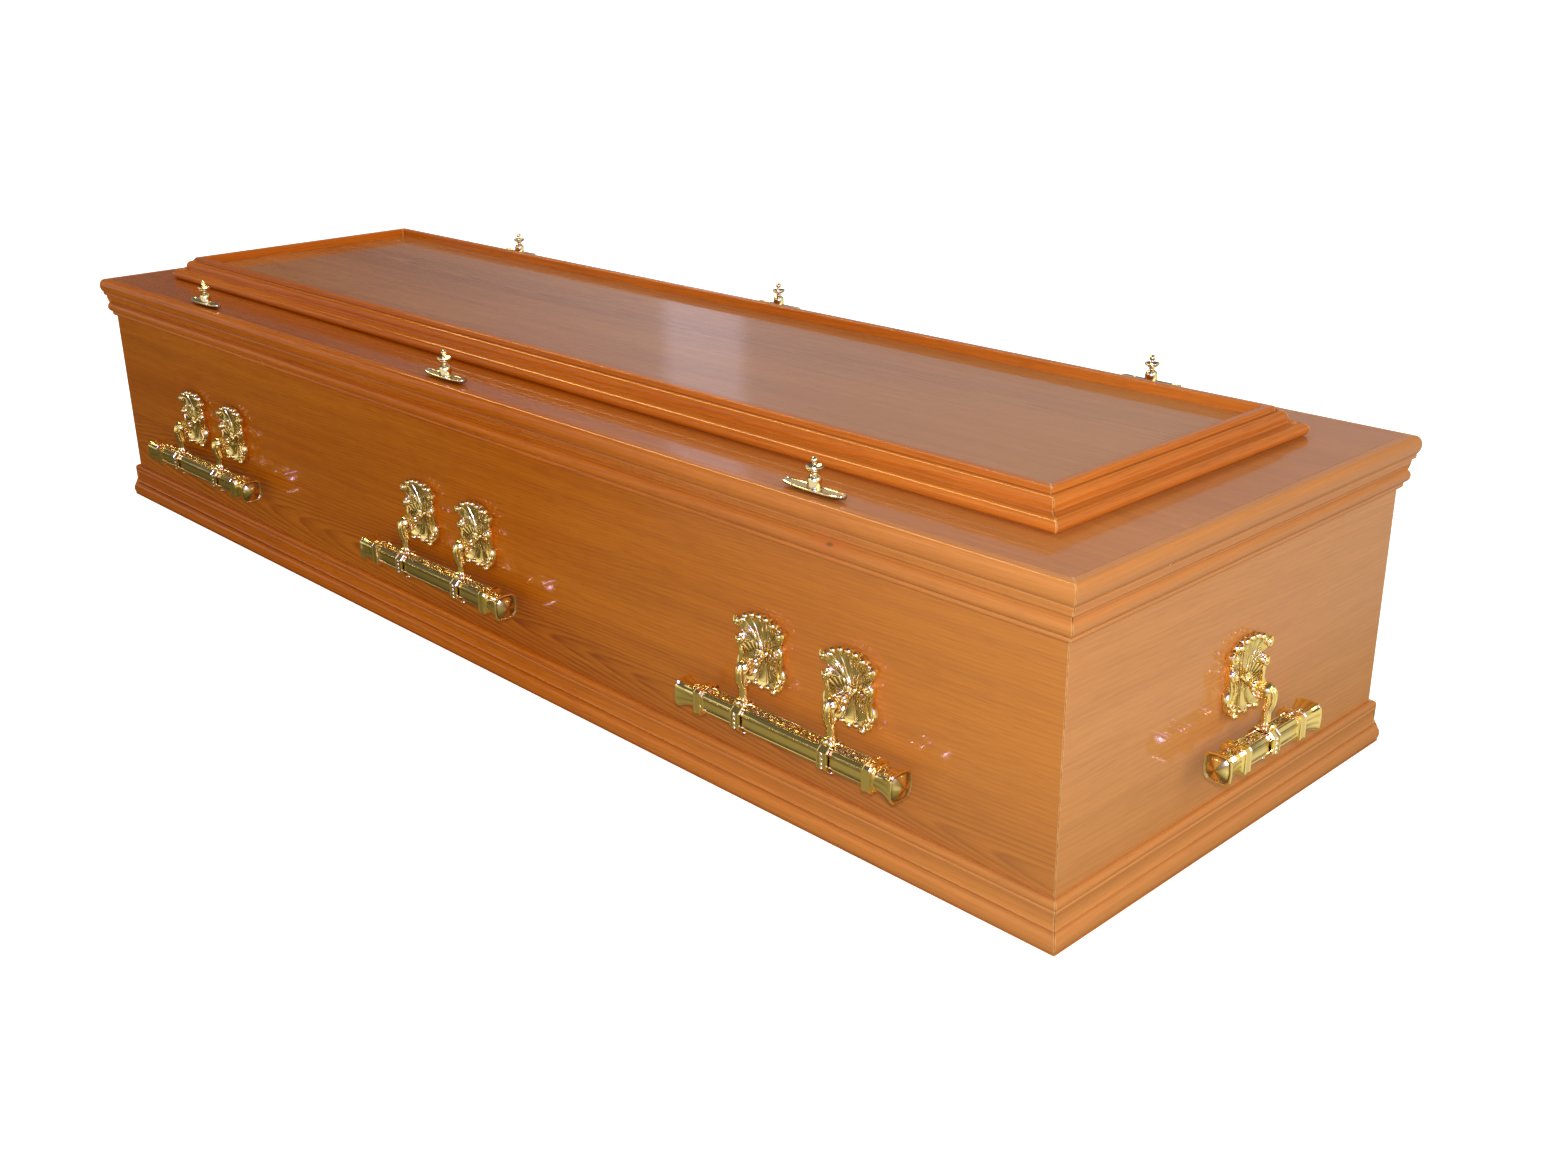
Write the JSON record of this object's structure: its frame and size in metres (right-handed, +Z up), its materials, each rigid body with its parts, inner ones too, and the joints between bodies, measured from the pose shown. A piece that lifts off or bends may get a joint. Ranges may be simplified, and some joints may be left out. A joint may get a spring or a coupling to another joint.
{
  "type": "wooden coffin",
  "caption": "Straight-sided oak coffin with a lift-off lid, raised frame and sunk panel, mitred mouldings, gilt bar handles on scallop brackets and gilt thumbscrews; empty box inside.",
  "frame": {"origin": "on the floor under the middle of the coffin", "axes": "+X along the length towards the end at the right of the picture, +Y across towards the long wall away from the camera, +Z up"},
  "size_m": [2.0434, 0.6984, 0.4098],
  "materials": {
    "oak_panel": "oak veneer, stained honey orange, glossy lacquer",
    "oak_moulding": "solid oak moulding, stained honey orange, glossy lacquer",
    "gilt": "bright gilt plating on thin castings"
  },
  "bodies": {
    "root": {"bottom_board": "oak_panel", "side_panel_front": "oak_panel", "side_panel_back": "oak_panel", "end_panel_right": "oak_panel", "end_panel_left": "oak_panel", "plinth_front": "oak_moulding", "plinth_right": "oak_moulding", "plinth_back": "oak_moulding", "plinth_left": "oak_moulding", "rim_front": "oak_moulding", "rim_right": "oak_moulding", "rim_back": "oak_moulding", "rim_left": "oak_moulding", "lid_board": "oak_panel", "lid_edge_front": "oak_moulding", "lid_edge_right": "oak_moulding", "lid_edge_back": "oak_moulding", "lid_edge_left": "oak_moulding", "raised_frame_front": "oak_moulding", "raised_frame_right": "oak_moulding", "raised_frame_back": "oak_moulding", "raised_frame_left": "oak_moulding", "raised_panel": "oak_panel", "thumbscrew_front_1": "gilt", "thumbscrew_front_2": "gilt", "thumbscrew_front_3": "gilt", "thumbscrew_back_1": "gilt", "thumbscrew_back_2": "gilt", "thumbscrew_back_3": "gilt", "handle_bar_front_1": "gilt", "handle_bar_front_2": "gilt", "handle_bar_front_3": "gilt", "handle_bar_back_1": "gilt", "handle_bar_back_2": "gilt", "handle_bar_back_3": "gilt", "handle_bar_left": "gilt", "handle_bar_right": "gilt", "handle_bracket_front_1a": "gilt", "handle_bracket_front_1b": "gilt", "handle_bracket_front_2a": "gilt", "handle_bracket_front_2b": "gilt", "handle_bracket_front_3a": "gilt", "handle_bracket_front_3b": "gilt", "handle_bracket_back_1a": "gilt", "handle_bracket_back_1b": "gilt", "handle_bracket_back_2a": "gilt", "handle_bracket_back_2b": "gilt", "handle_bracket_back_3a": "gilt", "handle_bracket_back_3b": "gilt", "handle_bracket_left": "gilt", "handle_bracket_right": "gilt"}
  },
  "joints": []
}
